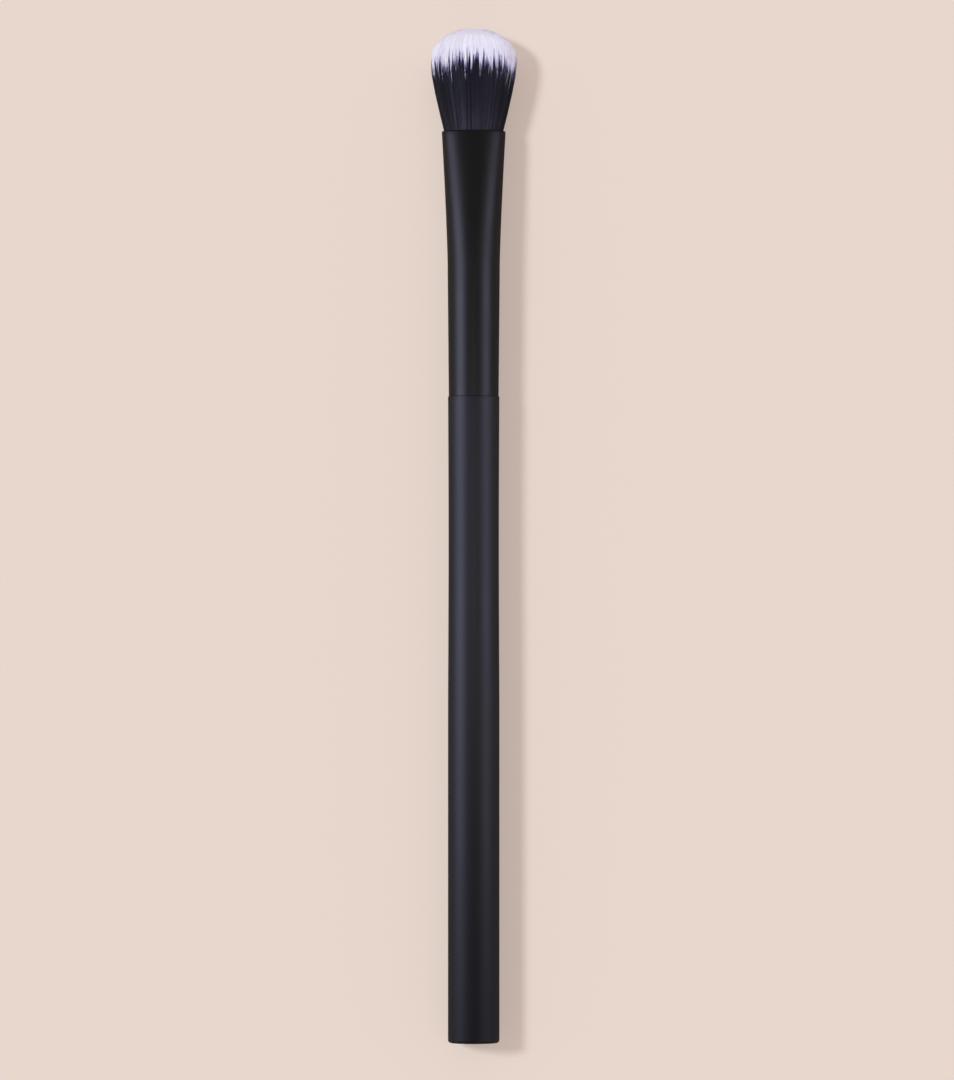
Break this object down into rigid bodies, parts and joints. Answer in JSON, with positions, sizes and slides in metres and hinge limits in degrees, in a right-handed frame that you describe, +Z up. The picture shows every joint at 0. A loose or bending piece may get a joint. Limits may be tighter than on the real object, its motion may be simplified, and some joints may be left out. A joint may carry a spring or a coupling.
{
  "type": "eyeshadow brush",
  "caption": "Slim eyeshadow brush with a round matte handle, a ferrule pressed from round to oval, and a domed dip-dyed tuft.",
  "frame": {"origin": "under the middle of the brush's length, on the surface that it lies on", "axes": "+Y along the brush from its butt to the bristle tips, +X across the flat of the tuft, +Z up through its face"},
  "size_m": [0.0138, 0.165, 0.0085],
  "materials": {
    "handle_lacquer": "turned hardwood under a matte black soft-touch lacquer",
    "ferrule_coating": "drawn aluminium with a satin black coating",
    "cured_glue": "cured amber glue",
    "thread": "off-white twisted thread",
    "bristle_fibre": "fine tapered synthetic fibres, dyed black with pale undyed tips"
  },
  "bodies": {
    "root": {"handle": "handle_lacquer", "ferrule": "ferrule_coating", "ferrule_glue": "cured_glue", "root_glue": "cured_glue", "knot_thread": "thread", "bristles": "bristle_fibre"}
  },
  "joints": []
}
